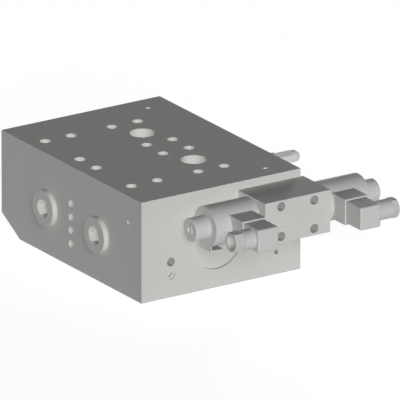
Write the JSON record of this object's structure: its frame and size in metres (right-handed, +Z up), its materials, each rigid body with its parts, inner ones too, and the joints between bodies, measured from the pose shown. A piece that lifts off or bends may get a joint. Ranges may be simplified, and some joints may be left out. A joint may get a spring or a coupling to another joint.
{
  "type": "freewheeling valve",
  "caption": "Ported hydraulic block with a spring-returned main spool and a solenoid pilot valve on its front, to let a hydraulic motor run free.",
  "frame": {"origin": "centre of the block's base face before the chamfer is cut, on the face that bolts to the motor", "axes": "+X to the right along the front face, +Y from the pilot valve's face to the back, +Z up out of the pump ports"},
  "size_m": [0.278, 0.359, 0.11],
  "materials": {
    "block": "plain machined block with a thin even grey coat",
    "steel_plug": "turned steel, even grey",
    "seal": "black nitrile",
    "ground_steel": "hardened and ground",
    "spring": "drawn spring wire",
    "relief_fitting": "turned steel, even grey",
    "pilot_casting": "cast body with milled faces, thin even grey coat",
    "screw": "black oxide",
    "pole_steel": "turned steel",
    "coil": "moulded grey plastic",
    "coil_nut": "moulded grey plastic",
    "contact": "tinned brass blades",
    "plug_housing": "moulded grey plastic with rounded edges",
    "gland_nut": "moulded grey plastic"
  },
  "bodies": {
    "valve": {"valve_block": "block", "front_bore_plug": "steel_plug", "rear_bore_plug": "steel_plug", "front_cross_plug": "steel_plug", "rear_cross_plug": "steel_plug", "gauge_plug": "steel_plug", "channel_plugs": "steel_plug", "front_bore_seal": "seal", "rear_bore_seal": "seal", "front_cross_seal": "seal", "rear_cross_seal": "seal", "base_port_seals": "seal", "relief_seals": "seal", "pilot_face_seals": "seal", "override_seals": "seal", "tube_seal_left": "seal", "tube_seal_right": "seal", "nut_seal_left": "seal", "nut_seal_right": "seal", "connector_gasket_left": "seal", "connector_gasket_right": "seal", "gland_seal_left": "seal", "gland_seal_right": "seal", "main_spring": "spring", "relief_spring": "spring", "pilot_spring_left": "spring", "pilot_spring_right": "spring", "relief_housing": "relief_fitting", "relief_spring_plate": "relief_fitting", "relief_adjuster": "relief_fitting", "relief_cap": "relief_fitting", "pilot_body": "pilot_casting", "pilot_screws": "screw", "solenoid_tube_left": "pole_steel", "solenoid_tube_right": "pole_steel", "solenoid_coil_left": "coil", "solenoid_coil_right": "coil", "coil_nut_left": "coil_nut", "coil_nut_right": "coil_nut", "terminal_pins_left": "contact", "terminal_pins_right": "contact", "connector_housing_left": "plug_housing", "connector_housing_right": "plug_housing", "connector_insert_left": "plug_housing", "connector_insert_right": "plug_housing", "gland_nut_left": "gland_nut", "gland_nut_right": "gland_nut"},
    "main_spool": {"main_spool": "ground_steel"},
    "pilot_spool": {"pilot_spool": "ground_steel"},
    "left_armature": {"armature_left": "pole_steel", "push_pin_left": "ground_steel"},
    "right_armature": {"armature_right": "pole_steel", "push_pin_right": "ground_steel"},
    "left_override": {"override_pin_left": "ground_steel"},
    "right_override": {"override_pin_right": "ground_steel"},
    "relief_poppet": {"relief_poppet": "ground_steel"}
  },
  "joints": [
    {"name": "main_spool_slide", "type": "slide", "parent": "valve", "child": "main_spool", "axis": [0, 1, 0], "range_m": [0, 0.016], "stiffness_N_per_m": 12000, "springref_m": -0.016, "deforming": ["main_spring"]},
    {"name": "pilot_spool_slide", "type": "slide", "parent": "valve", "child": "pilot_spool", "axis": [1, 0, 0], "range_m": [-0.003, 0.003], "stiffness_N_per_m": 4000, "deforming": ["pilot_spring_left", "pilot_spring_right"]},
    {"name": "left_armature_slide", "type": "slide", "parent": "valve", "child": "left_armature", "axis": [1, 0, 0], "range_m": [-0.003, 0.003]},
    {"name": "right_armature_slide", "type": "slide", "parent": "valve", "child": "right_armature", "axis": [1, 0, 0], "range_m": [-0.003, 0.003]},
    {"name": "left_override_press", "type": "slide", "parent": "valve", "child": "left_override", "axis": [1, 0, 0], "range_m": [0, 0.0025]},
    {"name": "right_override_press", "type": "slide", "parent": "valve", "child": "right_override", "axis": [1, 0, 0], "range_m": [-0.0025, 0]},
    {"name": "relief_poppet_slide", "type": "slide", "parent": "valve", "child": "relief_poppet", "axis": [1, 0, 0], "range_m": [0, 0.003], "stiffness_N_per_m": 2000, "springref_m": -0.004, "deforming": ["relief_spring"]}
  ],
  "couplings": [
    {"joint": "left_armature_slide", "follows": "pilot_spool_slide", "ratio": 1},
    {"joint": "right_armature_slide", "follows": "pilot_spool_slide", "ratio": 1}
  ]
}
